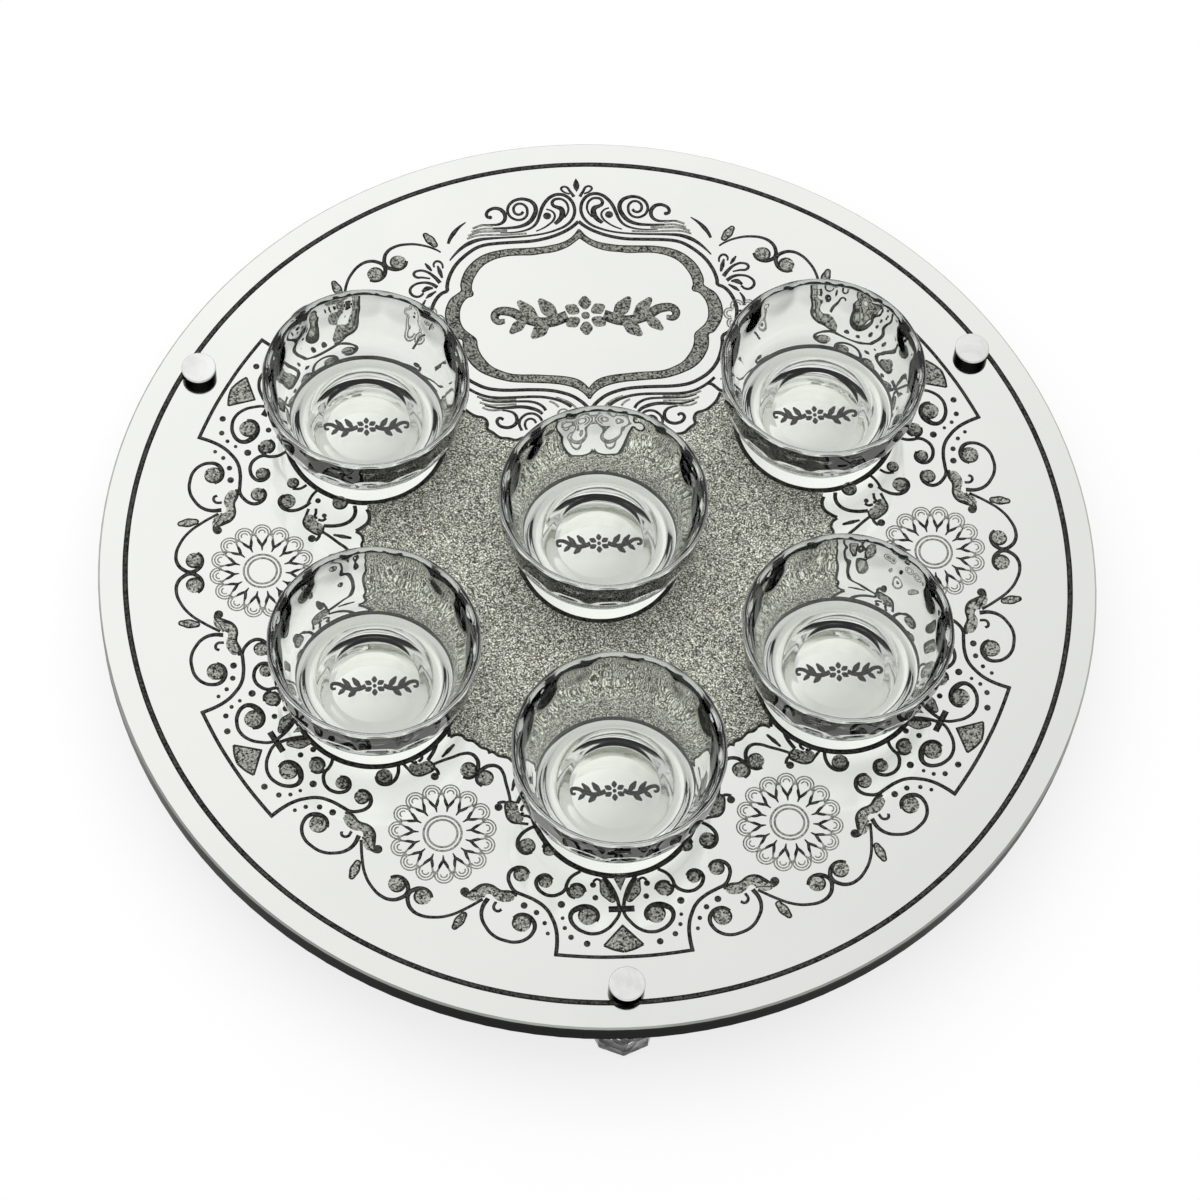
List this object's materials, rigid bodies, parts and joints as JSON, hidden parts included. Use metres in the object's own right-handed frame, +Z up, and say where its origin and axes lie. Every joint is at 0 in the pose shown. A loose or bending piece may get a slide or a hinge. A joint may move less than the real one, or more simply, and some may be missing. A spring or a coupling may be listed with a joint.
{
  "type": "seder plate",
  "caption": "Round mirror serving plate on cut crystal feet, with chrome screw caps, scrollwork ornament and loose glass bowls that lift off.",
  "frame": {"origin": "on the table under the plate's centre", "axes": "+Z up; +Y to the back of the plate, where the large cartouche is; the front screw cap is at -Y"},
  "size_m": [0.3999, 0.4, 0.0845],
  "materials": {
    "black_lacquer": "black gloss lacquer",
    "mirror": "polished mirror with dark etched ornament",
    "chrome": "polished",
    "clear_plastic": "clear, slightly milky",
    "steel": "threaded rod",
    "crystal": "cut and polished",
    "brass": "turned",
    "clear_pad": "clear soft bumper",
    "bowl_glass": "clear pressed glass"
  },
  "bodies": {
    "plate": {"base_board": "black_lacquer", "mirror_pane": "mirror", "screw_cap_left": "chrome", "cap_washer_left": "clear_plastic", "stud_left": "steel", "foot_left": "crystal", "foot_insert_left": "brass", "foot_pad_left": "clear_pad", "screw_cap_right": "chrome", "cap_washer_right": "clear_plastic", "stud_right": "steel", "foot_right": "crystal", "foot_insert_right": "brass", "foot_pad_right": "clear_pad", "screw_cap_front": "chrome", "cap_washer_front": "clear_plastic", "stud_front": "steel", "foot_front": "crystal", "foot_insert_front": "brass", "foot_pad_front": "clear_pad"},
    "bowl_back_left": {"bowl_back_left": "bowl_glass"},
    "bowl_back_right": {"bowl_back_right": "bowl_glass"},
    "bowl_front_left": {"bowl_front_left": "bowl_glass"},
    "bowl_front_right": {"bowl_front_right": "bowl_glass"},
    "bowl_front": {"bowl_front": "bowl_glass"},
    "bowl_centre": {"bowl_centre": "bowl_glass"}
  },
  "joints": [
    {"name": "bowl_back_left_lift", "type": "slide", "parent": "plate", "child": "bowl_back_left", "axis": [0, 0, 1], "range_m": [0, 0.06]},
    {"name": "bowl_back_right_lift", "type": "slide", "parent": "plate", "child": "bowl_back_right", "axis": [0, 0, 1], "range_m": [0, 0.06]},
    {"name": "bowl_front_left_lift", "type": "slide", "parent": "plate", "child": "bowl_front_left", "axis": [0, 0, 1], "range_m": [0, 0.06]},
    {"name": "bowl_front_right_lift", "type": "slide", "parent": "plate", "child": "bowl_front_right", "axis": [0, 0, 1], "range_m": [0, 0.06]},
    {"name": "bowl_front_lift", "type": "slide", "parent": "plate", "child": "bowl_front", "axis": [0, 0, 1], "range_m": [0, 0.06]},
    {"name": "bowl_centre_lift", "type": "slide", "parent": "plate", "child": "bowl_centre", "axis": [0, 0, 1], "range_m": [0, 0.06]}
  ]
}
